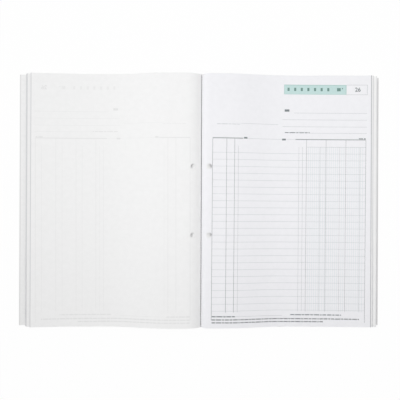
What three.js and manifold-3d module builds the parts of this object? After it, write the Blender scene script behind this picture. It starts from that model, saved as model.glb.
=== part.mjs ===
// Invoice book, A4, lying open at its middle on a table.
// Fifty numbered carbonless sets, each an original and a duplicate leaf, are side-stitched with wire
// through their bound margin, glued to a cloth spine tape and held between two card covers.
// The margins stand upright on the spine. Above the perforation the leaves part at the gutter and arch over.
//
// Frame: X to the right across the spread, Y up the page, Z up from the table, in millimetres.
// The origin is on the table, under the middle of the spine.

import * as THREE from 'three';
import { mergeVertices } from 'three/addons/utils/BufferGeometryUtils.js';
import Module from 'manifold-3d';

const wasm = await Module();
wasm.setup();

// Paper
const leafWidth = 210;
const leafHeight = 297;
const leafThickness = 0.075;
const leavesPerSet = 2;
const singleLeafPitch = 0.2;
const stackGap = 0.06;

// Sets of leaves, by their printed numbers
const leftStacks = [[1, 5], [6, 10], [11, 15], [16, 20], [21, 25]];
const rightStacks = [[27, 30], [31, 35], [36, 40], [41, 45], [46, 50]];
const openSet = 26;

// Filing holes, in every leaf, and the perforation at which a leaf is torn out
const holeDiameter = 6;
const holeSpacing = 80;
const holeFromPerforation = 12;
const stitchMargin = 4.2;
const perforationGap = 0.1;

// Covers and spine
const coverWidth = 205.6;
const coverThickness = 0.4;
const tapeThickness = 0.25;
const tapeWingWidth = 18;
const hingeGroove = 8;
const creaseGap = 0.3;
const glueThickness = 0.3;
const glueLine = 0.05;
const restGap = 0.08;

// Wire stitches
const wireWidth = 0.7;
const wireThickness = 0.5;
const stitchLength = 12;
const stitchCount = 3;
const outerStitchFromEnd = 38.5;
const clinchLength = 4.6;
const wireClearance = 0.2;
const bendRadius = 0.6;

// Shape of the open book. Distances run along the table from the gutter, heights from the table.
// drawnIn is how much deeper the uppermost leaf is held in the binding than the lowest.
const gutterAt = 1.5;
const gutterRadius = 1.5;
const lowestLeafRise = 1.8;
const lowestLeafRiseWidth = 12;
const settleDistance = 62;
const foldClearance = 0.35;
const left = {
  side: -1,
  air: 1.1,
  crest: 12.6,
  steepness: 3.2,
  archStart: 24,
  archEnd: 39,
  troughAt: 112,
  foreEdgeLift: 3.7,
  drawnIn: 4.4,
};
const right = {
  side: 1,
  air: 1.4,
  crest: 11.8,
  steepness: 4.2,
  archStart: 18,
  archEnd: 30,
  troughAt: 97,
  foreEdgeLift: 3,
  drawnIn: 2.4,
};

// Mesh fineness
const pathStep = 0.25;
const leafStations = 34;
const stationCrowding = 2.1;
const holeSides = 20;

const colours = {
  paper: { color: 0xf1f1f2, roughness: 0.85, metalness: 0 },
  carbonless: { color: 0xededec, roughness: 0.85, metalness: 0 },
  card: { color: 0xe9ebea, roughness: 0.6, metalness: 0 },
  cloth: { color: 0x6f8f8a, roughness: 0.95, metalness: 0 },
  glue: { color: 0xe6e0cc, roughness: 0.5, metalness: 0 },
  wire: { color: 0xb9bcc0, roughness: 0.35, metalness: 1 },
};

// Levels above the table
const coverLevel = tapeThickness + glueLine;
const coverTop = coverLevel + coverThickness;
const glueLevel = tapeThickness + glueLine;
const boundEdge = glueLevel + glueThickness + glueLine;
const perforation = boundEdge + stitchMargin;
const floor = coverThickness + restGap;

// The paper of each half. bound is its depth where it is stitched, and rest its depth where it lies loose.
const countOf = ([first, last]) => last - first + 1;
for (const [half, stacks, singles] of [[left, leftStacks, 0], [right, rightStacks, leavesPerSet]]) {
  const sets = stacks.reduce((sum, stack) => sum + countOf(stack), 0);
  half.singles = singles * singleLeafPitch;
  half.bound = half.singles + sets * leavesPerSet * leafThickness;
  half.rest = half.singles + sets * leavesPerSet * leafThickness * half.air;
  half.trough = floor + half.rest;
}

// The line about which the halves fold and the open leaves turn, just above both crests
const foldHeight = Math.max(left.crest, right.crest) + foldClearance;

// A quick rise that levels off, from 0 to 1
const rise = (t, steepness) => 1 - (1 - THREE.MathUtils.clamp(t, 0, 1)) ** steepness;

// A smooth fall from 1 to 0
const fall = (t) => (1 + Math.cos(Math.PI * THREE.MathUtils.clamp(t, 0, 1))) / 2;

// Height of the uppermost leaf of a half, which climbs from the perforation, arches over and curls up
function topHeight(half, run) {
  const climb = (half.crest - perforation) * rise(run / half.archStart, half.steepness);
  const fallen = 1 - fall((run - half.archEnd) / (half.troughAt - half.archEnd));
  const descent = (half.crest - half.trough) * fallen;
  const curl = Math.max(0, (run - half.troughAt) / (leafWidth - half.troughAt));
  return perforation + climb - descent + half.foreEdgeLift * curl ** 2;
}

// Height of a half's lowest leaf, which settles on the cover
function bottomHeight(half, run) {
  const lift = lowestLeafRise * rise(run / lowestLeafRiseWidth, half.steepness);
  return floor + (perforation + lift - floor) * fall(run / settleDistance);
}

// The place of a leaf at a run past its perforation. share is 0 for the uppermost leaf and 1 for the lowest.
function leafPoint(half, share, run) {
  const bend = run - gutterRadius * (1 - Math.exp(-run / gutterRadius));
  const distance = share * half.bound + bend;
  const height = THREE.MathUtils.lerp(topHeight(half, run), bottomHeight(half, run), share);
  return new THREE.Vector2(gutterAt + half.side * distance, height);
}

// The line that a leaf follows, as a function of the length of paper past its perforation
function leafPath(half, share) {
  const fine = [leafPoint(half, share, 0)];
  const lengths = [0];
  for (let run = pathStep; lengths.at(-1) < leafWidth; run += pathStep) {
    const point = leafPoint(half, share, run);
    lengths.push(lengths.at(-1) + point.distanceTo(fine.at(-1)));
    fine.push(point);
  }
  return (length) => {
    const i = Math.max(1, lengths.findIndex((value) => value >= length));
    return fine[i - 1].clone().lerp(fine[i], (length - lengths[i - 1]) / (lengths[i] - lengths[i - 1]));
  };
}

// The points at which a leaf's line is drawn, crowded towards the perforation. Its free paper is what is
// left of its width past the binding.
function leafLine(half, share) {
  const freePaper = leafWidth - stitchMargin - half.drawnIn * (1 - share);
  const path = leafPath(half, share);
  return Array.from({ length: leafStations + 1 }, (_, i) => {
    return path(freePaper * (i / leafStations) ** stationCrowding);
  });
}

// The shares between which a stack of sets lies, for each stack of a half
function sharesOf(half, stacks) {
  const loose = half.bound - half.singles;
  const sets = stacks.reduce((sum, stack) => sum + countOf(stack), 0);
  let done = 0;
  return stacks.map((stack) => {
    const near = (half.singles + (loose * done) / sets) / half.bound;
    done += countOf(stack);
    return [near, (half.singles + (loose * done) / sets) / half.bound];
  });
}

// Outline of a stack between two leaves. Its fore-edge slants, because the lower leaf reaches further.
function stackOutline(half, near, far) {
  const gap = stackGap / 2 / half.bound;
  const upper = leafLine(half, near + gap);
  const lower = leafLine(half, far - gap);
  return half.side > 0 ? [...lower, ...upper.reverse()] : [...upper, ...lower.reverse()];
}

// Outline of one leaf at its true thickness
function leafOutline(half, share) {
  const middle = leafLine(half, share);
  const offset = (sign) => middle.map((point, i) => {
    const before = middle[Math.max(0, i - 1)];
    const after = middle[Math.min(middle.length - 1, i + 1)];
    const along = after.clone().sub(before).normalize();
    const across = new THREE.Vector2(-along.y, along.x).multiplyScalar(sign * leafThickness / 2);
    return point.clone().add(across);
  });
  return [...offset(-1), ...offset(1).reverse()];
}

// An outline in the XZ plane, given as Vector2s of x and z, extruded along Y about the middle
function extrudeAlongY(outline, length) {
  const shape = new THREE.Shape(outline.map((p) => new THREE.Vector2(p.x, p.y)));
  const geometry = new THREE.ExtrudeGeometry(shape, { depth: length, bevelEnabled: false });
  geometry.rotateX(Math.PI / 2);
  geometry.translate(0, length / 2, 0);
  return geometry;
}

// A flat rectangular sheet between two X and two Z values
function flatSheet(x0, x1, z0, z1, length) {
  const geometry = new THREE.BoxGeometry(x1 - x0, length, z1 - z0);
  geometry.translate((x0 + x1) / 2, 0, (z0 + z1) / 2);
  return geometry;
}

function toSolid(geometry) {
  const bare = geometry.clone();
  bare.deleteAttribute('normal');
  bare.deleteAttribute('uv');
  const merged = mergeVertices(bare, 1e-4);
  const vertProperties = merged.attributes.position.array;
  const triVerts = new Uint32Array(merged.index.array);
  return new wasm.Manifold(new wasm.Mesh({ numProp: 3, vertProperties, triVerts }));
}

function toGeometry(solid) {
  const mesh = solid.getMesh();
  const geometry = new THREE.BufferGeometry();
  geometry.setAttribute('position', new THREE.BufferAttribute(new Float32Array(mesh.vertProperties), 3));
  geometry.setIndex(new THREE.BufferAttribute(new Uint32Array(mesh.triVerts), 1));
  const flat = geometry.toNonIndexed();
  flat.computeVertexNormals();
  return flat;
}

function subtract(geometry, cutters) {
  const cut = cutters.reduce((solid, cutter) => solid.subtract(toSolid(cutter)), toSolid(geometry));
  return toGeometry(cut);
}

// Upright cylinders that punch a leaf's pair of filing holes
function holeCutters(half, share) {
  const { x } = leafPath(half, share)(holeFromPerforation);
  return [-1, 1].map((end) => {
    const cutter = new THREE.CylinderGeometry(holeDiameter / 2, holeDiameter / 2, 2 * foldHeight, holeSides);
    cutter.rotateX(Math.PI / 2);
    cutter.translate(x, end * holeSpacing / 2, foldHeight);
    return cutter;
  });
}

const stitchLevel = boundEdge + stitchMargin / 2;
const outerStitchAt = leafHeight / 2 - outerStitchFromEnd;
const stitchPlaces = Array.from({ length: stitchCount }, (_, i) => {
  return THREE.MathUtils.lerp(-outerStitchAt, outerStitchAt, i / (stitchCount - 1));
});

// Slots in which the legs of the wire stitches pass through the margin
function stitchCutters() {
  const slotWidth = wireThickness + 2 * wireClearance;
  const slotHeight = wireWidth + 2 * wireClearance;
  const reach = 3 * (left.bound + right.bound);
  return stitchPlaces.flatMap((y) => [-1, 1].map((end) => {
    const cutter = new THREE.BoxGeometry(reach, slotWidth, slotHeight);
    cutter.translate(gutterAt, y + end * (stitchLength - wireThickness) / 2, stitchLevel);
    return cutter;
  }));
}

// One wire stitch: the crown lies on the left of the margin, and both legs are clinched on its right
function stitch(y) {
  const x0 = gutterAt - left.bound - wireClearance - wireThickness;
  const x1 = gutterAt + right.bound + wireClearance + wireThickness;
  const half = stitchLength / 2;
  const r = bendRadius;
  const w = wireThickness;
  const wire = new THREE.Shape();
  wire.moveTo(x0 + r, -half);
  wire.lineTo(x1 - r, -half);
  wire.absarc(x1 - r, -half + r, r, -Math.PI / 2, 0, false);
  wire.lineTo(x1, -half + clinchLength);
  wire.lineTo(x1 - w, -half + clinchLength);
  wire.lineTo(x1 - w, -half + w);
  wire.lineTo(x0 + w, -half + w);
  wire.lineTo(x0 + w, half - w);
  wire.lineTo(x1 - w, half - w);
  wire.lineTo(x1 - w, half - clinchLength);
  wire.lineTo(x1, half - clinchLength);
  wire.lineTo(x1, half - r);
  wire.absarc(x1 - r, half - r, r, 0, Math.PI / 2, false);
  wire.lineTo(x0 + r, half);
  wire.absarc(x0 + r, half - r, r, Math.PI / 2, Math.PI, false);
  wire.lineTo(x0, -half + r);
  wire.absarc(x0 + r, -half + r, r, Math.PI, 1.5 * Math.PI, false);
  const options = { depth: wireWidth, bevelEnabled: false, curveSegments: 5 };
  const geometry = new THREE.ExtrudeGeometry(wire, options);
  geometry.translate(0, y, stitchLevel - wireWidth / 2);
  return geometry;
}

// A card cover, lifted at its hinge edge by the thickness of the tape glued under it
function cover(side) {
  const inner = hingeGroove + creaseGap;
  const outer = inner + coverWidth;
  const stepStart = hingeGroove + tapeWingWidth + creaseGap;
  const stepEnd = stepStart + 4 * tapeThickness;
  const outline = [
    [inner, coverLevel], [stepStart, coverLevel], [stepEnd, 0], [outer, 0],
    [outer, coverThickness], [stepEnd, coverThickness], [stepStart, coverTop], [inner, coverTop],
  ].map(([x, z]) => new THREE.Vector2(side * x, z));
  return extrudeAlongY(side > 0 ? outline : outline.reverse(), leafHeight);
}

const numbered = ([first, last]) => [first, last].map((n) => String(n).padStart(2, '0')).join('_');

const book = new THREE.Group();

function add(name, geometry, look) {
  const mesh = new THREE.Mesh(geometry, new THREE.MeshStandardMaterial(colours[look]));
  mesh.name = name;
  book.add(mesh);
}

function addCoversAndTape() {
  const wingStart = hingeGroove + creaseGap;
  const wingEnd = hingeGroove + tapeWingWidth;
  add('front_cover', cover(-1), 'card');
  add('back_cover', cover(1), 'card');
  add('spine_tape', flatSheet(-hingeGroove, hingeGroove, 0, tapeThickness, leafHeight), 'cloth');
  add('front_tape_wing', flatSheet(-wingEnd, -wingStart, 0, tapeThickness, leafHeight), 'cloth');
  add('back_tape_wing', flatSheet(wingStart, wingEnd, 0, tapeThickness, leafHeight), 'cloth');
}

// The bound margins of all the leaves, glued to the tape and pierced by the stitches
function addBinding() {
  const glue = [gutterAt - left.bound, gutterAt + right.bound, glueLevel, glueLevel + glueThickness];
  add('spine_glue', flatSheet(...glue, leafHeight), 'glue');
  for (const [half, stacks] of [[left, leftStacks], [right, [[openSet, openSet], ...rightStacks]]]) {
    const [x0, x1] = [stackGap / 2, half.bound].map((x) => gutterAt + half.side * x).sort((a, b) => a - b);
    const block = flatSheet(x0, x1, boundEdge, perforation - perforationGap, leafHeight);
    add(`margins_${numbered([stacks[0][0], stacks.at(-1)[1]])}`, subtract(block, stitchCutters()), 'paper');
  }
  const places = ['foot', 'middle', 'head'];
  stitchPlaces.forEach((y, i) => add(`stitch_${places[i] ?? i}`, stitch(y), 'wire'));
}

// Stacks of whole sets, named by their numbers, the uppermost first
function addStacks(half, stacks) {
  const shares = sharesOf(half, stacks);
  stacks.forEach((stack, i) => {
    const [near, far] = shares[i];
    const solid = extrudeAlongY(stackOutline(half, near, far), leafHeight);
    add(`sets_${numbered(stack)}`, subtract(solid, holeCutters(half, (near + far) / 2)), 'paper');
  });
}

// The two leaves of the set at which the book lies open, each free to turn
function addOpenSet() {
  ['original', 'duplicate'].forEach((name, order) => {
    const share = ((order + 0.5) * singleLeafPitch) / right.bound;
    const leaf = extrudeAlongY(leafOutline(right, share), leafHeight);
    const look = order === 0 ? 'paper' : 'carbonless';
    add(`${name}_${openSet}`, subtract(leaf, holeCutters(right, share)), look);
  });
}

addCoversAndTape();
addBinding();
addStacks(left, leftStacks.slice().reverse());
addStacks(right, rightStacks);
addOpenSet();

export default book;
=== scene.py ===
# A4 duplicate invoice book, lying open at its middle on a pale table and seen from straight above.
# Each leaf is its own sheet of paper, bent to the curve that it takes from the stitched margin to its
# fore-edge. The form is printed on the open leaf in thin ink. Sizes are in millimetres, turned to metres
# where a mesh is made. Across is +X, towards the page with the form, and the head of the page is +Y.

import math

import bpy
import numpy as np
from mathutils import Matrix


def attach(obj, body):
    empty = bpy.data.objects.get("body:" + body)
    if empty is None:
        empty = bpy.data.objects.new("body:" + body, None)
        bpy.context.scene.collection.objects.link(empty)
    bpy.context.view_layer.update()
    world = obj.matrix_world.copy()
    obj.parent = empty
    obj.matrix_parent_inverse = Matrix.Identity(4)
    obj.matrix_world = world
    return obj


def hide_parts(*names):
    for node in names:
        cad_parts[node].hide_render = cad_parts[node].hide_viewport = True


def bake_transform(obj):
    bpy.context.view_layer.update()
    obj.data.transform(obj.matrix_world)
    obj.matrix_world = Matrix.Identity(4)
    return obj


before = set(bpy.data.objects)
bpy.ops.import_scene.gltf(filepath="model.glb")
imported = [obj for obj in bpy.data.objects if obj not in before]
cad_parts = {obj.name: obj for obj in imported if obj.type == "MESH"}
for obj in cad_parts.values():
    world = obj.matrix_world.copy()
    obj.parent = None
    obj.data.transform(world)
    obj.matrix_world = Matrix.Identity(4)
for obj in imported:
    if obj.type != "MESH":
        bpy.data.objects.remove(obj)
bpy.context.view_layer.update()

MM = 0.001

# Paper
LEAF_WIDTH = 210
LEAF_HEIGHT = 297
LEAF_THICKNESS = 0.075
LEAVES_PER_SET = 2
STACK_GAP = 0.06
STITCH_MARGIN = 4.2
HOLE_DIAMETER = 6
HOLE_SPACING = 80
HOLE_FROM_PERFORATION = 12

# Shape of the open book, as in the solids
GUTTER_AT = 1.5
GUTTER_RADIUS = 1.5
PERFORATION = 4.85
FLOOR_OF_LEAVES = 0.48
LOWEST_LEAF_RISE = 1.8
LOWEST_LEAF_RISE_WIDTH = 12
SETTLE_DISTANCE = 62

# A leaf's curve: the step between its points, the span over which its slope is taken, and how far past the
# width of a leaf it is drawn
PATH_STEP = 0.1
SLOPE_SPAN = 2 * PATH_STEP
CURVE_PAST_LEAF = 12

# Each half: how its uppermost leaf arches, how much deeper than the lowest it is held in the binding, how
# flush its leaves lie, and how far from the middle its stacks of sets end, from the uppermost down.
LEFT = dict(side=-1, singles=0.0, air=1.1, crest=12.6, steepness=3.2, arch_start=24, arch_end=39,
            trough_at=112, fore_edge_lift=3.7, drawn_in=4.4, flush_within=0.7)
RIGHT = dict(side=1, singles=0.4, air=1.4, crest=11.8, steepness=4.2, arch_start=18, arch_end=30,
             trough_at=97, fore_edge_lift=3.0, drawn_in=2.4, flush_within=0.2)
LEFT["stacks"] = [(21, 25, 197.8), (16, 20, 198.1), (11, 15, 203.7), (6, 10, 204.7), (1, 5, 205.7)]
RIGHT["stacks"] = [(27, 30, 204.1), (31, 35, 208.7), (36, 40, 209.0), (41, 45, 209.4), (46, 50, 209.8)]

# How far a leaf of a stack may lie out of line up the page, and the seed of these small shifts
SQUARE_WITHIN = 0.12
LEAF_SEED = 26

# The two open leaves: how far from the middle they end, and how deep in the paper of their half they lie
ORIGINAL_END = 201.6
DUPLICATE_END = 202.1
ORIGINAL_DEPTH = 0.1
DUPLICATE_DEPTH = 0.3

# How far the open leaves' gutter strips reach past the gutter
STRIP_REACH = 2

# Mesh of a leaf: columns crowd towards the perforation, rows lie closer at the filing holes
LEAF_COLUMNS = 64
COLUMN_CROWDING = 1.7
ROW_LEVELS = (-148.5, -112, -76, -46, -40, -34, -12, 12, 34, 40, 46, 76, 112, 148.5)
FULL_REACH = LEAF_WIDTH - STITCH_MARGIN
HOLE_SIDES = 40
PUNCH_DEPTH = 4
SMOOTH_ANGLE = 35
PAPER_LENGTH = "paper_length"

# Lengths of paper: up to UNTRIMMED a leaf isn't drawn out or in to reach its fore-edge, and within HOLE_ZONE
# it slips outwards with its filing holes, fully between the two middle values
UNTRIMMED = 100
HOLE_ZONE = (0, 4, 20, 60)

# Ink, drawn thicker than real ink so that it stands clear of the paper
INK_BOTTOM = 0.01
INK_THICKNESS = 0.06
INK_STEP = 3.0
UPPER_INK_LIFT = 0.015

# Spine and covers
COVER_EDGE = 213.9
TAPE_THICKNESS = 0.25
TAPE_GROOVE = 8.3
TAPE_SLACK = 1.8
GLUE_FROM = -2.25
GLUE_TO = 5.5
TAPE_COLUMNS = 28
TAPE_ROWS = 24

# Camera of the photograph
CAMERA_HEIGHT = 424.6
FOCAL_PIXELS = 355.5
FRAME_PIXELS = 400
SENSOR_WIDTH = 36
CAMERA_YAW = 0.77
CAMERA_ROLL = 0.25
CAMERA_UP_PAGE = 0.8
CAMERA_ACROSS = -5.7
NEAREST_SEEN = 0.01

# Light and table, in metres but for the drop, with each lamp's place, the point it faces, its size and power
ROOM_LIGHT = 0.405
FLOOR_WHITENESS = 0.96
FLOOR_SIZE = 6
FLOOR_DROP = 0.02
LAMPS = {
    "left overhead softbox": dict(place=(-0.18, 0.09, 0.66), aim=(-0.18, 0.09, 0), size=0.35, power=0.71),
    "right overhead softbox": dict(place=(0.2, 0.09, 0.66), aim=(0.2, 0.09, 0), size=0.35, power=1.36),
    "upper left lamp": dict(place=(-1.7, 1.2, 1.9), aim=(0, 0, 0), size=2.0, power=28),
}


# Curves of the leaves

def count_sets(stacks):
    return sum(last - first + 1 for first, last, _ in stacks)


def prepare(half):
    """Adds the depth of paper of a half: bound where it is stitched, and resting where it lies loose."""
    paper = count_sets(half["stacks"]) * LEAVES_PER_SET * LEAF_THICKNESS
    half["loose"] = paper
    half["bound"] = half["singles"] + paper
    half["trough"] = FLOOR_OF_LEAVES + half["singles"] + paper * half["air"]


def rise(t, steepness):
    """A quick rise that levels off, from 0 to 1."""
    return 1 - (1 - np.clip(t, 0, 1)) ** steepness


def fall(t):
    """A smooth fall from 1 to 0."""
    return (1 + np.cos(np.pi * np.clip(t, 0, 1))) / 2


def top_height(half, run):
    """Height of the uppermost leaf, which climbs from the perforation, arches over and curls up."""
    climb = (half["crest"] - PERFORATION) * rise(run / half["arch_start"], half["steepness"])
    fallen = 1 - fall((run - half["arch_end"]) / (half["trough_at"] - half["arch_end"]))
    curl = np.maximum(0, (run - half["trough_at"]) / (LEAF_WIDTH - half["trough_at"]))
    descent = (half["crest"] - half["trough"]) * fallen
    return PERFORATION + climb - descent + half["fore_edge_lift"] * curl ** 2


def bottom_height(half, run):
    """Height of the lowest leaf, which settles on the cover."""
    lift = LOWEST_LEAF_RISE * rise(run / LOWEST_LEAF_RISE_WIDTH, half["steepness"])
    return FLOOR_OF_LEAVES + (PERFORATION + lift - FLOOR_OF_LEAVES) * fall(run / SETTLE_DISTANCE)


def leaf_curve(half, share):
    """Place across and height of a leaf, against the length of paper past its perforation."""
    run = np.arange(0, LEAF_WIDTH + CURVE_PAST_LEAF, PATH_STEP)
    bend = run - GUTTER_RADIUS * (1 - np.exp(-run / GUTTER_RADIUS))
    across = GUTTER_AT + half["side"] * (share * half["bound"] + bend)
    height = (1 - share) * top_height(half, run) + share * bottom_height(half, run)
    steps = np.hypot(np.diff(across), np.diff(height))
    return np.concatenate([[0], np.cumsum(steps)]), across, height


def reach_to(half, share, end):
    """Length of paper past the perforation of a leaf whose fore-edge is this far from the middle."""
    lengths, across, _ = leaf_curve(half, share)
    return float(np.interp(end, half["side"] * across, lengths))


# Mesh helpers

def only(obj):
    """Makes an object the one that is selected and active."""
    bpy.ops.object.select_all(action="DESELECT")
    obj.select_set(True)
    bpy.context.view_layer.objects.active = obj


def read_points(obj):
    points = np.empty(len(obj.data.vertices) * 3)
    obj.data.vertices.foreach_get("co", points)
    return points.reshape(-1, 3)


def write_points(obj, points):
    obj.data.vertices.foreach_set("co", points.ravel())
    obj.data.update()


def apply_modifier(obj, kind, **settings):
    """Adds a modifier with its settings and applies it."""
    only(obj)
    modifier = obj.modifiers.new(kind.title(), kind)
    for name, value in settings.items():
        setattr(modifier, name, value)
    bpy.ops.object.modifier_apply(modifier=modifier.name)


def copy_of(obj, name):
    """A copy with its own mesh."""
    only(obj)
    bpy.ops.object.duplicate(linked=False)
    copy = bpy.context.object
    copy.name = name
    copy.data.name = name
    return copy


def join(pieces, name):
    """Joins pieces into the first of them."""
    only(pieces[0])
    for piece in pieces:
        piece.select_set(True)
    if len(pieces) > 1:
        bpy.ops.object.join()
    joined = bpy.context.object
    joined.name = name
    joined.data.name = name
    return joined


def remove(obj):
    mesh = obj.data
    bpy.data.objects.remove(obj)
    bpy.data.meshes.remove(mesh)


def flat_sheet(name, x0, x1, y0, y1, thickness, columns, rows, bottom=None):
    """A flat sheet between two places across and two up the page, centred on height 0 or on its bottom."""
    bpy.ops.object.select_all(action="DESELECT")
    level = 0 if bottom is None else (bottom + thickness / 2) * MM
    bpy.ops.mesh.primitive_grid_add(
        x_subdivisions=columns, y_subdivisions=rows, size=1,
        location=((x0 + x1) / 2 * MM, (y0 + y1) / 2 * MM, level))
    sheet = bpy.context.object
    sheet.name = name
    sheet.scale = ((x1 - x0) * MM, (y1 - y0) * MM, 1)
    bpy.ops.object.transform_apply(location=True, rotation=True, scale=True)
    apply_modifier(sheet, "SOLIDIFY", thickness=thickness * MM, offset=0)
    return sheet


def lay(obj, half, share, reach=FULL_REACH, slip=0.0):
    """Bends a flat piece to a leaf's curve. Its x is the length of paper, its z the height over the leaf.
    A leaf that is held less deep in the binding slips outwards, and its filing holes with it."""
    lengths, across, height = leaf_curve(half, share)
    points = read_points(obj)
    length = points[:, 0] / MM
    trimmed = UNTRIMMED + (length - UNTRIMMED) * (reach - UNTRIMMED) / (FULL_REACH - UNTRIMMED)
    length = np.where(length > UNTRIMMED, trimmed, length + np.interp(length, HOLE_ZONE, (0, slip, slip, 0)))
    ahead = length + SLOPE_SPAN
    behind = np.maximum(0, length - SLOPE_SPAN)
    along_x = np.interp(ahead, lengths, across) - np.interp(behind, lengths, across)
    along_z = np.interp(ahead, lengths, height) - np.interp(behind, lengths, height)
    size = np.hypot(along_x, along_z)
    over = points[:, 2].copy()
    points[:, 0] = np.interp(length, lengths, across) * MM - half["side"] * over * along_z / size
    points[:, 2] = np.interp(length, lengths, height) * MM + half["side"] * over * along_x / size
    write_points(obj, points)
    if half["side"] < 0:
        only(obj)
        bpy.ops.object.mode_set(mode="EDIT")
        bpy.ops.mesh.select_all(action="SELECT")
        bpy.ops.mesh.flip_normals()
        bpy.ops.object.mode_set(mode="OBJECT")
    return obj


def smooth(obj):
    only(obj)
    bpy.ops.object.shade_smooth_by_angle(angle=math.radians(SMOOTH_ANGLE))


def clothe(obj, material):
    """Gives a piece one material."""
    obj.data.materials.clear()
    obj.data.materials.append(material)


# Leaves

def punch(leaf):
    """Punches the two filing holes."""
    for end in (-1, 1):
        bpy.ops.object.select_all(action="DESELECT")
        bpy.ops.mesh.primitive_cylinder_add(
            vertices=HOLE_SIDES, radius=HOLE_DIAMETER / 2 * MM, depth=PUNCH_DEPTH * MM,
            location=(HOLE_FROM_PERFORATION * MM, end * HOLE_SPACING / 2 * MM, 0))
        punch_tool = bpy.context.object
        apply_modifier(leaf, "BOOLEAN", object=punch_tool, operation="DIFFERENCE", solver="EXACT")
        remove(punch_tool)


def mark_lengths(leaf):
    """Keeps each point's length of paper past the perforation, in millimetres, for the paper's material."""
    lengths = leaf.data.attributes.new(PAPER_LENGTH, "FLOAT", "POINT")
    lengths.data.foreach_set("value", read_points(leaf)[:, 0] / MM)


def flat_leaf(name, x0, x1, with_holes=True):
    """A flat leaf from one length of paper past the perforation to another."""
    leaf = flat_sheet(name, 0, 1, 0, 1, LEAF_THICKNESS, LEAF_COLUMNS, len(ROW_LEVELS) - 1)
    points = read_points(leaf)
    share = np.clip(points[:, 0] / MM, 0, 1) ** COLUMN_CROWDING
    row = np.clip(points[:, 1] / MM, 0, 1) * (len(ROW_LEVELS) - 1)
    points[:, 0] = (x0 + (x1 - x0) * share) * MM
    points[:, 1] = np.interp(row, range(len(ROW_LEVELS)), ROW_LEVELS) * MM
    write_points(leaf, points)
    if with_holes:
        punch(leaf)
    mark_lengths(leaf)
    return leaf


def half_a_leaf_down(half):
    """The share of a half's depth from a stack's face to the middle of its first leaf."""
    return (STACK_GAP + LEAF_THICKNESS) / 2 / half["bound"]


def stack_of_leaves(half, number, pattern, paper, jitter):
    """The leaves of one stack of sets, each bent to its own curve."""
    first, last, end = half["stacks"][number]
    before = count_sets(half["stacks"][:number])
    sets = count_sets(half["stacks"])
    near = (half["singles"] + half["loose"] * before / sets) / half["bound"]
    far = (half["singles"] + half["loose"] * (before + last - first + 1) / sets) / half["bound"]
    margin = half_a_leaf_down(half)
    count = (last - first + 1) * LEAVES_PER_SET
    leaves = []
    for share in np.linspace(near + margin, far - margin, count):
        leaf = copy_of(pattern, "leaf")
        flush = end + jitter.uniform(-1, 1) * half["flush_within"]
        lay(leaf, half, share, reach_to(half, share, flush), slip=half["drawn_in"] * share)
        shift = jitter.uniform(-SQUARE_WITHIN, SQUARE_WITHIN) * MM
        write_points(leaf, read_points(leaf) + np.array([0, shift, 0]))
        leaves.append(leaf)
    stack = join(leaves, f"leaves_{first:02d}_{last:02d}")
    smooth(stack)
    clothe(stack, paper)
    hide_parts(f"sets_{first:02d}_{last:02d}")
    bend_with_spine(stack)


def bend_with_spine(piece):
    """Bakes a piece's place into its mesh."""
    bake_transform(piece)


def bend_as_leaf_turns(piece):
    """Bakes a piece of an open leaf's place into its mesh."""
    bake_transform(piece)


def open_leaf(name, node, depth, end, paper):
    """A leaf of the open set, in two pieces: a strip at the gutter and the rest."""
    share = depth / RIGHT["bound"]
    strip_reach = reach_to(RIGHT, share, GUTTER_AT + STRIP_REACH)
    strip = flat_leaf(f"{name}_gutter_strip", 0, strip_reach, with_holes=False)
    leaf = flat_leaf(f"{name}_leaf", strip_reach, FULL_REACH)
    for piece in (strip, leaf):
        lay(piece, RIGHT, share, reach_to(RIGHT, share, end))
        smooth(piece)
        clothe(piece, paper)
        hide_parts(node)
    bend_with_spine(strip)
    bend_as_leaf_turns(leaf)


def build_leaves(paper, form_paper, carbonless):
    jitter = np.random.default_rng(LEAF_SEED)
    pattern = flat_leaf("leaf_pattern", 0, FULL_REACH)
    for half in (LEFT, RIGHT):
        for number in range(len(half["stacks"])):
            stack_of_leaves(half, number, pattern, paper, jitter)
    remove(pattern)
    open_leaf("original", "original_26", ORIGINAL_DEPTH, ORIGINAL_END, form_paper)
    open_leaf("duplicate", "duplicate_26", DUPLICATE_DEPTH, DUPLICATE_END,
              carbonless)


# Spine tape

def leave_slack(strip, x0, x1):
    """Raises a strip of tape into a low fold, which it takes up when the book is closed."""
    points = read_points(strip)
    share = (points[:, 0] / MM - x0) / (x1 - x0)
    points[:, 2] += TAPE_SLACK * MM * np.sin(math.pi * np.clip(share, 0, 1)) ** 2
    write_points(strip, points)


def build_tape(cloth):
    """The tape under the bound margins, in one strip glued to them and one to each cover's wing."""
    spans = {
        "tape_under_margins": (GLUE_FROM, GLUE_TO),
        "tape_to_front_cover": (-TAPE_GROOVE, GLUE_FROM),
        "tape_to_back_cover": (GLUE_TO, TAPE_GROOVE),
    }
    for name, (x0, x1) in spans.items():
        strip = flat_sheet(name, x0, x1, -LEAF_HEIGHT / 2, LEAF_HEIGHT / 2, TAPE_THICKNESS,
                           TAPE_COLUMNS, TAPE_ROWS, bottom=0)
        if name != "tape_under_margins":
            leave_slack(strip, x0, x1)
        smooth(strip)
        clothe(strip, cloth)
        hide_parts("spine_tape")
        if name == "tape_under_margins":
            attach(strip, "spine")
        else:
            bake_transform(strip)


# The printed form, in millimetres of paper past the perforation and up from the middle of the page

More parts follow.
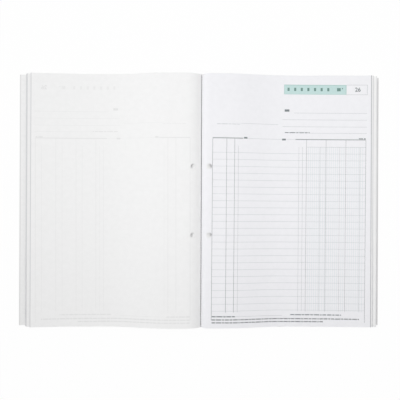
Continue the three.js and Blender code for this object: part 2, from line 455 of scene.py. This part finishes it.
FORM_LEFT = 15.7
FORM_RIGHT = 196.9
HEADER_LINE = 72.9
HEADER_GAP = (51.2, 114.2)
GRID_TOP = 64
FRAME_FOOT = -143
LEFT_FRAME_FOOT = -139.5
FIRST_ROW = 56.1
ROW_PITCH = 8.035
ROW_COUNT = 24
LAST_ROW = FIRST_ROW - (ROW_COUNT - 1) * ROW_PITCH
UPRIGHT_FOOT = LAST_ROW - 1.5
HEAVY_RULES = (32.1, 41.4)
MONEY_RULES = (127.2, 150.3, 173.6)
LIGHT_RULES = (45.9, 118.3, 122.7)
DECIMAL_RULES = (143.2, 166.4, 190.0)
DIGIT_PITCH = 2.45
DIGIT_CLEARANCE = 0.8
REFERENCE_RULE = (47.8, 93.6, 90.3)
FOOT_RULE = (44, 99.5, -135.2)
ADDRESS_RULES = ((112, 104.2), (98.6, 96.2), (98.6, 88), (131.6, 80.5))
ADDRESS_RULES_END = FORM_RIGHT + 1

# Weights of the form's lines
HEAVY_WEIGHT = 0.4
MONEY_WEIGHT = 0.3
RIGHT_FRAME_WEIGHT = 0.36
LEFT_HEADER_WEIGHT = 0.92
RIGHT_HEADER_WEIGHT = 0.85
THIN_WEIGHT = 0.22
HAIR_WEIGHT = 0.2
ROW_WEIGHT = 0.3
DIGIT_WEIGHT = 0.18
BOX_WEIGHT = 0.25
BAND_HEAD_WEIGHT = 0.7
BAND_END_WEIGHT = 0.8
BAND_THIN_WEIGHT = 0.4

# Band with the heading, and the box with the number
BAND_LEFT = 100.25
BAND_RIGHT = 173.65
BAND_FOOT = 126.2
BAND_HEAD = 137.6
BAND_MIDDLE = (BAND_FOOT + BAND_HEAD) / 2
HEADING_START = 105.4
HEADING_PITCH = 7.82
HEADING_BLOCKS = 7
HEADING_RISE = 0.2
BLOCK_WIDTH = 2.5
BLOCK_HEIGHT = 3.8
WIDE_BLOCK = (162.6, 166.9)
RAISED_BLOCK = (168.3, 169.6)
RAISED_BLOCK_FOOT = 0.6
NUMBER_BOX_RIGHT = 198.15
NUMBER_TEXT = "26"
NUMBER_MIDDLE = 187.0
NUMBER_SIZE = 6.7
NUMBER_BOLDNESS = 0.12

# Lines of print as dashes: where each starts and ends, its place up the page, its height and a letter's width
SMALL_PRINT = {
    "note before the last address rule": (101.4, 131, 80.9, 0.9, 0.9),
    "title before the first address rule": (101, 106.6, 107, 2.6, 2.2),
    "label in the gap of the header": (52.4, 56.4, 73.5, 1.9, 1.4),
    "second label in the gap": (98.2, 102.6, 72.7, 2, 1.6),
    "label over the last column": (188.6, 196.6, 74.2, 1, 1),
    "label before the foot rule": (16.2, 43.6, -135.2, 1.2, 0.9),
    "note after the foot rule": (109.8, 169.6, -134.2, 1.1, 0.9),
}
FOOT_PRINT = {
    "upper line": (16.2, 190.6, -138.9, 1.25, 0.8),
    "lower line": (16.2, 148.6, -142.3, 1.25, 0.8),
}
FAINT_PRINT = {
    "line before the reference rule": (20.6, 47.4, 89.2, 0.4, 0.9),
}
WORD_LENGTHS = (5, 8, 3, 6, 4, 7, 2, 5, 6, 3)
PRINT_MIDDLE = 107
PRINT_SKEW = 0.25


def bar(x0, x1, y0, y1, name="bar"):
    """A flat bar of ink, cut across often enough to follow the page."""
    columns = max(1, math.ceil((x1 - x0) / INK_STEP))
    return flat_sheet(name, x0, x1, y0, y1, INK_THICKNESS, columns, 1, bottom=INK_BOTTOM)


def across_rule(x0, x1, y, weight):
    return bar(x0, x1, y - weight / 2, y + weight / 2)


def upright_rule(x, y0, y1, weight):
    return bar(x - weight / 2, x + weight / 2, y0, y1)


def words(x0, x1, y, height, letter):
    """A line of small print as plain dashes, of the lengths that words have."""
    dashes = []
    at = x0
    i = 0
    while at < x1 - letter:
        length = min(WORD_LENGTHS[i % len(WORD_LENGTHS)] * letter, x1 - at)
        dashes.append(bar(at, at + length, y - height / 2, y + height / 2))
        at += length + letter
        i += 1
    return dashes


def print_lines(lines, name):
    """Several lines of small print in one piece."""
    dashes = []
    for line in lines.values():
        dashes += words(*line)
    return join(dashes, name)


def heavy_rules():
    rules = [upright_rule(x, UPRIGHT_FOOT, HEADER_LINE, HEAVY_WEIGHT) for x in HEAVY_RULES]
    rules += [upright_rule(x, UPRIGHT_FOOT, HEADER_LINE, MONEY_WEIGHT) for x in MONEY_RULES]
    rules.append(upright_rule(FORM_LEFT, LEFT_FRAME_FOOT, HEADER_LINE, HEAVY_WEIGHT))
    rules.append(upright_rule(FORM_RIGHT, FRAME_FOOT, HEADER_LINE, RIGHT_FRAME_WEIGHT))
    rules.append(across_rule(FORM_LEFT, HEADER_GAP[0], HEADER_LINE, LEFT_HEADER_WEIGHT))
    rules.append(across_rule(HEADER_GAP[1], FORM_RIGHT, HEADER_LINE, RIGHT_HEADER_WEIGHT))
    return join(rules, "form_heavy_rules")


def light_rules():
    rules = [upright_rule(x, UPRIGHT_FOOT, GRID_TOP, THIN_WEIGHT) for x in LIGHT_RULES + DECIMAL_RULES]
    rules.append(across_rule(*HEADER_GAP, HEADER_LINE, HAIR_WEIGHT))
    rules.append(across_rule(*REFERENCE_RULE, HAIR_WEIGHT))
    for start, y in ADDRESS_RULES:
        rules.append(across_rule(start, ADDRESS_RULES_END, y, THIN_WEIGHT))
    rules.append(across_rule(*FOOT_RULE, THIN_WEIGHT))
    return join(rules, "form_light_rules")


def row_lines():
    """One row line, modelled once and copied down the page, and the line over the money columns."""
    first = across_rule(FORM_LEFT, FORM_RIGHT, FIRST_ROW, ROW_WEIGHT)
    rows = [first]
    for i in range(1, ROW_COUNT):
        row = copy_of(first, "row")
        write_points(row, read_points(row) - np.array([0, i * ROW_PITCH * MM, 0]))
        rows.append(row)
    rows.append(across_rule(MONEY_RULES[0], FORM_RIGHT, GRID_TOP, HEAVY_WEIGHT))
    return join(rows, "form_row_lines")


def digit_lines():
    """The fine uprights that part the digits of the money columns."""
    places = np.arange(MONEY_RULES[0] + DIGIT_PITCH, FORM_RIGHT - DIGIT_PITCH / 2, DIGIT_PITCH)
    taken = np.array(MONEY_RULES + DECIMAL_RULES)
    lines = [upright_rule(x, UPRIGHT_FOOT, GRID_TOP, DIGIT_WEIGHT)
             for x in places if np.abs(taken - x).min() > DIGIT_CLEARANCE]
    return join(lines, "form_digit_lines")


def header_band():
    return bar(BAND_LEFT, BAND_RIGHT, BAND_FOOT, BAND_HEAD, name="form_header_band")


def band_frame():
    """The darker line round the band."""
    foot = BAND_FOOT + BAND_THIN_WEIGHT
    head = BAND_HEAD - BAND_HEAD_WEIGHT
    sides = [
        across_rule(BAND_LEFT, BAND_RIGHT, BAND_HEAD - BAND_HEAD_WEIGHT / 2, BAND_HEAD_WEIGHT),
        across_rule(BAND_LEFT, BAND_RIGHT, BAND_FOOT + BAND_THIN_WEIGHT / 2, BAND_THIN_WEIGHT),
        upright_rule(BAND_RIGHT - BAND_END_WEIGHT / 2, foot, head, BAND_END_WEIGHT),
        upright_rule(BAND_LEFT + BAND_THIN_WEIGHT / 2, foot, head, BAND_THIN_WEIGHT),
    ]
    return join(sides, "form_band_frame")


def heading_blocks():
    """Plain blocks where the form's heading is."""
    y = BAND_MIDDLE + HEADING_RISE
    foot = y - BLOCK_HEIGHT / 2
    head = y + BLOCK_HEIGHT / 2
    blocks = []
    for i in range(HEADING_BLOCKS):
        x = HEADING_START + i * HEADING_PITCH
        blocks.append(bar(x - BLOCK_WIDTH / 2, x + BLOCK_WIDTH / 2, foot, head))
    blocks.append(bar(*WIDE_BLOCK, foot, head))
    blocks.append(bar(*RAISED_BLOCK, y + RAISED_BLOCK_FOOT, head))
    return join(blocks, "form_heading_blocks")


def number_box():
    sides = [
        across_rule(BAND_RIGHT, NUMBER_BOX_RIGHT, BAND_FOOT, BOX_WEIGHT),
        across_rule(BAND_RIGHT, NUMBER_BOX_RIGHT, BAND_HEAD, BOX_WEIGHT),
        upright_rule(NUMBER_BOX_RIGHT, BAND_FOOT, BAND_HEAD, BOX_WEIGHT),
    ]
    return join(sides, "form_number_box")


def number():
    """The number of the set, which is the only lettering on the form."""
    bpy.ops.object.select_all(action="DESELECT")
    bpy.ops.object.text_add(location=(0, 0, 0))
    text = bpy.context.object
    text.data.body = NUMBER_TEXT
    text.data.size = NUMBER_SIZE * MM
    text.data.offset = NUMBER_BOLDNESS * MM
    text.data.extrude = INK_THICKNESS / 2 * MM
    text.data.align_x = "CENTER"
    text.data.align_y = "CENTER"
    bpy.ops.object.convert(target="MESH")
    digits = bpy.context.object
    digits.location = (NUMBER_MIDDLE * MM, BAND_MIDDLE * MM, (INK_BOTTOM + INK_THICKNESS / 2) * MM)
    bpy.ops.object.transform_apply(location=True, rotation=True, scale=True)
    digits.name = "form_number"
    return digits


def skew(piece):
    """Turns a printed piece a little on the page, as the print lies."""
    points = read_points(piece)
    angle = math.radians(PRINT_SKEW)
    x = points[:, 0] - PRINT_MIDDLE * MM
    y = points[:, 1].copy()
    points[:, 0] = PRINT_MIDDLE * MM + x * math.cos(angle) + y * math.sin(angle)
    points[:, 1] = y * math.cos(angle) - x * math.sin(angle)
    write_points(piece, points)


def show_through(piece, ink):
    """A faint copy of a printed piece on the page to the left, as the paper lets it through."""
    ghost = copy_of(piece, piece.name.replace("form", "through_page"))
    lay(ghost, LEFT, half_a_leaf_down(LEFT))
    clothe(ghost, ink)
    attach(ghost, "front")


def build_form(inks):
    """Prints the form on the open leaf, and lets it show through faintly on the page to the left."""
    parts = {
        "band tint": [header_band()],
        "band frame": [band_frame()],
        "heavy ink": [heavy_rules(), print_lines(FOOT_PRINT, "form_foot_print")],
        "light ink": [light_rules(), number_box(), print_lines(FAINT_PRINT, "form_faint_print")],
        "row ink": [row_lines()],
        "digit tint": [digit_lines()],
        "heading ink": [heading_blocks()],
        "dark ink": [number(), print_lines(SMALL_PRINT, "form_small_print")],
    }
    seen_through = ("form_heavy_rules", "form_heading_blocks", "form_number", "form_small_print",
                    "form_light_rules", "form_faint_print", "form_foot_print")
    over_the_band = ("band frame", "heading ink", "dark ink")
    for ink, pieces in parts.items():
        for piece in pieces:
            skew(piece)
            if piece.name in seen_through:
                show_through(piece, inks["tint shown through" if ink == "heading ink" else "shown through"])
            if ink in over_the_band:
                write_points(piece, read_points(piece) + np.array([0, 0, UPPER_INK_LIFT * MM]))
            lay(piece, RIGHT, ORIGINAL_DEPTH / RIGHT["bound"])
            clothe(piece, inks[ink])
            bend_as_leaf_turns(piece)


# Materials

# Blender's wave texture has bands one unit apart at this scale
WAVE_SCALE = 0.314

# Perforation and its painted crack shade, painted shade at paper and board edges, and textures, in
# millimetres, zones from where they start to where they are full
SLIT_PITCH = 3
# Painted shade: the band of dark cuts along the perforation is widened, for the shade of the crack between
# the pages.
SLIT_AND_CRACK_SHADE_ZONE = (1.7, 0.8)
SLIT_ENDS = (0.15, 0.4)
# Painted shade: the leaves' fore-edges are greyed over this zone, for the shade where the stacks' edges step
# down.
FORE_EDGE_SHADE_ZONE = (FULL_REACH - 0.7, FULL_REACH - 0.2)
# Painted shade: the board is greyed towards its outer edges, for the shade at its cut edge.
BOARD_EDGE_SHADE_ZONE = (COVER_EDGE - 1.6, COVER_EDGE - 0.7)
CUT_EDGE_PITCH = 0.3
THREAD_PITCH = 0.6
CLOUD_CONTRAST = (0.35, 0.65)


def linear(hex_colour):
    """An sRGB hex colour as the linear values that a shader takes."""
    channels = [int(hex_colour[i:i + 2], 16) / 255 for i in (0, 2, 4)]
    return [c / 12.92 if c <= 0.04045 else ((c + 0.055) / 1.055) ** 2.4 for c in channels] + [1.0]


def set_inputs(tree, node, inputs):
    """Sets each input of a node to a value or links it to an output."""
    for name, value in inputs.items():
        if isinstance(value, bpy.types.NodeSocket):
            tree.links.new(value, node.inputs[name])
        else:
            node.inputs[name].default_value = value


def add_node(tree, kind, inputs=None, **settings):
    """Adds a node with its settings and its inputs."""
    node = tree.nodes.new(kind)
    for name, value in settings.items():
        setattr(node, name, value)
    set_inputs(tree, node, inputs or {})
    return node


def new_material(name):
    """An empty material with its shader, output and Object coordinates."""
    material = bpy.data.materials.new(name)
    material.use_nodes = True
    tree = material.node_tree
    tree.nodes.clear()
    shader = add_node(tree, "ShaderNodeBsdfPrincipled")
    add_node(tree, "ShaderNodeOutputMaterial", {"Surface": shader.outputs["BSDF"]})
    place = add_node(tree, "ShaderNodeTexCoord").outputs["Object"]
    return material, tree, shader, place


def mottled(tree, place, first, second, grain):
    """A colour that wanders between two, in patches of a given size in millimetres."""
    noise = add_node(tree, "ShaderNodeTexNoise", {"Vector": place, "Scale": 1 / (grain * MM), "Detail": 4})
    spread = add_node(tree, "ShaderNodeMapRange", {
        "Value": noise.outputs["Fac"], "From Min": CLOUD_CONTRAST[0], "From Max": CLOUD_CONTRAST[1]})
    mix = add_node(tree, "ShaderNodeMix", {
        "Factor": spread.outputs["Result"], 6: linear(first), 7: linear(second)}, data_type="RGBA")
    return mix.outputs[2]


def relief(tree, height, strength, depth):
    """Relief of a given depth in millimetres."""
    bump = add_node(tree, "ShaderNodeBump", {"Height": height, "Strength": strength, "Distance": depth * MM})
    return bump.outputs["Normal"]


def fibres(tree, place, grain, depth):
    """Relief of fibres of a given size and depth in millimetres."""
    noise = add_node(tree, "ShaderNodeTexNoise", {
        "Vector": place, "Scale": 1 / (grain * MM), "Detail": 5, "Roughness": 0.65})
    return relief(tree, noise.outputs["Fac"], strength=0.5, depth=depth)


def bands(tree, place, pitch, inputs=None, **settings):
    """Soft bands at a given pitch in millimetres."""
    wave = {"Vector": place, "Scale": WAVE_SCALE / (pitch * MM)}
    wave.update(inputs or {})
    return add_node(tree, "ShaderNodeTexWave", wave, **settings).outputs["Fac"]


def smooth_step(tree, value, start, end):
    """0 before a start and 1 after an end, or the other way round where the end comes first."""
    low, high = (0.0, 1.0) if start < end else (1.0, 0.0)
    step = add_node(tree, "ShaderNodeMapRange", {
        "Value": value, "From Min": min(start, end), "From Max": max(start, end),
        "To Min": low, "To Max": high}, interpolation_type="SMOOTHSTEP")
    return step.outputs["Result"]


def blend_colour(tree, factor, first, second):
    """Mixes two colours, each a hex colour or another node's."""
    first, second = (c if isinstance(c, bpy.types.NodeSocket) else linear(c) for c in (first, second))
    mix = add_node(tree, "ShaderNodeMix", {"Factor": factor, 6: first, 7: second}, data_type="RGBA")
    return mix.outputs[2]


# The dark default colour along the perforation is partly its cuts and partly painted shade of the gutter
# crack; the edge colour is painted shade at the fore-edge.
def paper_material(name, first, second, roughness, edge="D6D6D8", slit_and_crack_shade="4E4D52"):
    """Uncoated wood-free paper: dull, with faint clouds where its pulp lies denser and a fine felt tooth. Its
    fore-edge is painted grey, painted shade where the stacks' edges step down. Along the gutter run the cuts
    of the perforation, 2 mm long with bridges of 1 mm, painted dark: partly the cuts, partly painted shade of
    the crack between the pages. Cuts and shade are drawn wider and darker than real ones, so that they show."""
    material, tree, shader, place = new_material(name)
    length = add_node(tree, "ShaderNodeAttribute", attribute_name=PAPER_LENGTH).outputs["Fac"]
    # Painted shade: each leaf is greyed towards its fore-edge, for the shade where the stacks step down.
    painted_fore_edge_shade = smooth_step(tree, length, *FORE_EDGE_SHADE_ZONE)
    # Painted shade: the perforation's cuts are dark over a wide band, partly the cuts and partly the crack's
    # shade.
    crack_shade_band = smooth_step(tree, length, *SLIT_AND_CRACK_SHADE_ZONE)
    cut = smooth_step(tree, bands(tree, place, SLIT_PITCH, bands_direction="Y"), *SLIT_ENDS)
    slits_and_crack_shade = add_node(tree, "ShaderNodeMath", {0: crack_shade_band, 1: cut}, operation="MULTIPLY").outputs[0]
    clouds = mottled(tree, place, first, second, grain=5)
    set_inputs(tree, shader, {
        "Base Color": blend_colour(tree, slits_and_crack_shade, blend_colour(tree, painted_fore_edge_shade, clouds, edge), slit_and_crack_shade),
        "Normal": fibres(tree, place, grain=0.5, depth=0.02),
        "Roughness": roughness, "Specular IOR Level": 0.3})
    return material


def margin_material():
    """Cut edges of the bound paper, with leaves drawn four times as thick as they are, so that they show."""
    material, tree, shader, place = new_material("cut paper edges")
    leaves = bands(tree, place, CUT_EDGE_PITCH, {"Distortion": 0.4, "Detail": 2})
    set_inputs(tree, shader, {
        "Base Color": blend_colour(tree, leaves, "DCDCDD", "F1F1F2"),
        "Normal": relief(tree, leaves, strength=0.4, depth=0.04),
        "Roughness": 0.9})
    return material


def card_material():
    """Pulp board, calendered: smoother than the paper, with a slight sheen and long faint fibres. Its outer
    edges
    are painted grey: painted shade, for the board's cut edge in shade."""
    material, tree, shader, place = new_material("calendered cover board")
    across = add_node(tree, "ShaderNodeSeparateXYZ", {"Vector": place}).outputs["X"]
    outwards = add_node(tree, "ShaderNodeMath", {0: across}, operation="ABSOLUTE").outputs[0]
    # Painted shade: the board is greyed near its outer edges, for its cut edge in shade.
    painted_board_edge_shade = smooth_step(tree, outwards, BOARD_EDGE_SHADE_ZONE[0] * MM, BOARD_EDGE_SHADE_ZONE[1] * MM)
    board = mottled(tree, place, "F0F0F0", "EDEDED", grain=3.5)
    set_inputs(tree, shader, {
        "Base Color": blend_colour(tree, painted_board_edge_shade, board, "DCDCDC"),
        "Normal": fibres(tree, place, grain=1.2, depth=0.015),
        "Roughness": 0.55})
    return material


def cloth_material():
    """Plain woven book cloth, starched. Threads are 0.6 mm apart, a little coarser than real ones."""
    material, tree, shader, place = new_material("woven book cloth")
    weft = bands(tree, place, THREAD_PITCH, {"Distortion": 0.3}, bands_direction="X")
    warp = bands(tree, place, THREAD_PITCH, {"Distortion": 0.3}, bands_direction="Y")
    weave = add_node(tree, "ShaderNodeMath", {0: weft, 1: warp}, operation="MAXIMUM").outputs[0]
    dyed = mottled(tree, place, "6F8F8A", "7B9A95", grain=4)
    set_inputs(tree, shader, {
        "Base Color": blend_colour(tree, weave, "55736F", dyed),
        "Normal": relief(tree, weave, strength=0.6, depth=0.1),
        "Roughness": 0.9, "Sheen Weight": 0.25})
    return material


def glue_material():
    """Dried padding glue: slightly yellow, rubbery and softly uneven."""
    material, tree, shader, place = new_material("dried padding glue")
    set_inputs(tree, shader, {
        "Base Color": mottled(tree, place, "E8E2CE", "D9D1B8", grain=2.5),
        "Normal": fibres(tree, place, grain=1.5, depth=0.08),
        "Roughness": 0.42})
    return material


def wire_material():
    """Galvanised steel stitching wire, drawn flat: fine lines along it and a slightly clouded zinc."""
    material, tree, shader, place = new_material("galvanised stitching wire")
    set_inputs(tree, shader, {
        "Base Color": mottled(tree, place, "BCBFC3", "A6AAAF", grain=0.8),
        "Normal": fibres(tree, place, grain=0.15, depth=0.01),
        "Metallic": 1, "Roughness": 0.36})
    return material


def ink_material(name, first, second):
    """Offset ink soaked into uncoated paper: as dull as the paper, slightly uneven."""
    material, tree, shader, place = new_material(name)
    set_inputs(tree, shader, {
        "Base Color": mottled(tree, place, first, second, grain=0.8),
        "Roughness": 0.8, "Specular IOR Level": 0.3})
    return material


# Setting of the photograph

def place_camera():
    """A 32 mm lens straight above the book, turned a little to the right and rolled a little."""
    data = bpy.data.cameras.new("camera")
    data.sensor_width = SENSOR_WIDTH
    data.lens = FOCAL_PIXELS / FRAME_PIXELS * SENSOR_WIDTH
    data.clip_start = NEAREST_SEEN
    camera = bpy.data.objects.new("camera", data)
    bpy.context.scene.collection.objects.link(camera)
    camera.location = (CAMERA_ACROSS * MM, CAMERA_UP_PAGE * MM, CAMERA_HEIGHT * MM)
    camera.rotation_mode = "XYZ"
    camera.rotation_euler = (0, math.radians(-CAMERA_YAW), math.radians(CAMERA_ROLL))
    bpy.context.scene.camera = camera


def softbox(name, place, aim, size, power):
    """A square lamp with soft edges, turned towards a point."""
    data = bpy.data.lights.new(name, "AREA")
    data.size = size
    data.energy = power
    lamp = bpy.data.objects.new(name, data)
    bpy.context.scene.collection.objects.link(lamp)
    lamp.location = place
    away = np.array(place, float) - np.array(aim, float)
    lamp.rotation_euler = (math.atan2(math.hypot(away[0], away[1]), away[2]), 0,
                           math.atan2(away[0], -away[1]))


def seen_white(tree):
    """1 for the rays that show the background: those of the camera, and those mirrored or let through."""
    rays = add_node(tree, "ShaderNodeLightPath")
    both = add_node(tree, "ShaderNodeMath", {
        0: rays.outputs["Is Glossy Ray"], 1: rays.outputs["Is Transmission Ray"]}, operation="MAXIMUM")
    return add_node(tree, "ShaderNodeMath", {
        0: rays.outputs["Is Camera Ray"], 1: both.outputs[0]}, operation="MAXIMUM").outputs[0]


def build_floor():
    """A pale table, which the camera sees as white with a part of the object's shadow."""
    bpy.ops.object.select_all(action="DESELECT")
    bpy.ops.mesh.primitive_plane_add(size=FLOOR_SIZE, location=(0, 0, -FLOOR_DROP * MM))
    floor = bpy.context.object
    floor.name = "table"
    material = bpy.data.materials.new("white table")
    material.use_nodes = True
    tree = material.node_tree
    tree.nodes.clear()
    board = add_node(tree, "ShaderNodeBsdfDiffuse", {"Color": linear("F4F4F4")})
    white = add_node(tree, "ShaderNodeEmission", {"Color": linear("FFFFFF"), "Strength": 1.0})
    seen = add_node(tree, "ShaderNodeMath", {0: seen_white(tree), 1: FLOOR_WHITENESS}, operation="MULTIPLY")
    mix = add_node(tree, "ShaderNodeMixShader", {
        0: seen.outputs[0], 1: board.outputs[0], 2: white.outputs[0]})
    add_node(tree, "ShaderNodeOutputMaterial", {"Surface": mix.outputs[0]})
    clothe(floor, material)


def build_light():
    """Two broad lamps over the pages and one from the upper left, in an even white room."""
    world = bpy.data.worlds.new("room")
    bpy.context.scene.world = world
    world.use_nodes = True
    tree = world.node_tree
    tree.nodes.clear()
    room = add_node(tree, "ShaderNodeBackground", {"Color": linear("FFFFFF"), "Strength": ROOM_LIGHT})
    white = add_node(tree, "ShaderNodeBackground", {"Color": linear("FFFFFF"), "Strength": 1.0})
    mix = add_node(tree, "ShaderNodeMixShader", {
        0: seen_white(tree), 1: room.outputs[0], 2: white.outputs[0]})
    add_node(tree, "ShaderNodeOutputWorld", {"Surface": mix.outputs[0]})
    for name, lamp in LAMPS.items():
        softbox(name, **lamp)


def dress_solids(materials):
    """Gives the solids that stay visible their materials."""
    for names, material in materials:
        for name in names:
            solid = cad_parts[name]
            if len(solid.material_slots) == 0:
                solid.data.materials.append(material)
            for place in solid.material_slots:
                place.material = material


bpy.context.scene.view_settings.view_transform = "Standard"
for half in (LEFT, RIGHT):
    prepare(half)

white_paper = paper_material("uncoated white paper", "F4F4F4", "F2F2F2", 0.88)
# The open leaves' fore-edges are greyer still: painted shade under their lifted edges.
form_paper = paper_material("uncoated bluish white paper", "F1F1F4", "EFEFF2", 0.88, edge="B4B4B8")
carbonless_paper = paper_material("white carbonless paper", "F2F2F1", "F0F0EF", 0.85, edge="B4B4B8")
cover_board = card_material()
book_cloth = cloth_material()
cut_edges = margin_material()
inks = {
    "band tint": ink_material("light teal ink", "C6DFDD", "C1DAD8"),
    "band frame": ink_material("teal line ink", "A8C6C2", "AFCCC8"),
    "heading ink": ink_material("teal ink", "6F908C", "78988F"),
    "heavy ink": ink_material("grey ink", "888B8D", "909395"),
    "light ink": ink_material("thin grey ink", "A2A6A8", "AAAEB0"),
    "row ink": ink_material("pale grey ink", "C0C4C6", "C7CBCD"),
    "digit tint": ink_material("pale grey green ink", "C2D1D2", "CAD8D9"),
    "dark ink": ink_material("dark grey ink", "787F82", "82898B"),
    "shown through": ink_material("print seen through paper", "E5E5E5", "E8E8E8"),
    "tint shown through": ink_material("pale print seen through paper", "ECECEC", "EEEEEE"),
}

place_camera()
build_floor()
build_light()
dress_solids([
    (("front_cover", "back_cover"), cover_board),
    (("front_tape_wing", "back_tape_wing"), book_cloth),
    (("spine_glue",), glue_material()),
    (("margins_01_25", "margins_26_50"), cut_edges),
    (("stitch_foot", "stitch_middle", "stitch_head"), wire_material()),
])
build_tape(book_cloth)
build_leaves(white_paper, form_paper, carbonless_paper)
build_form(inks)
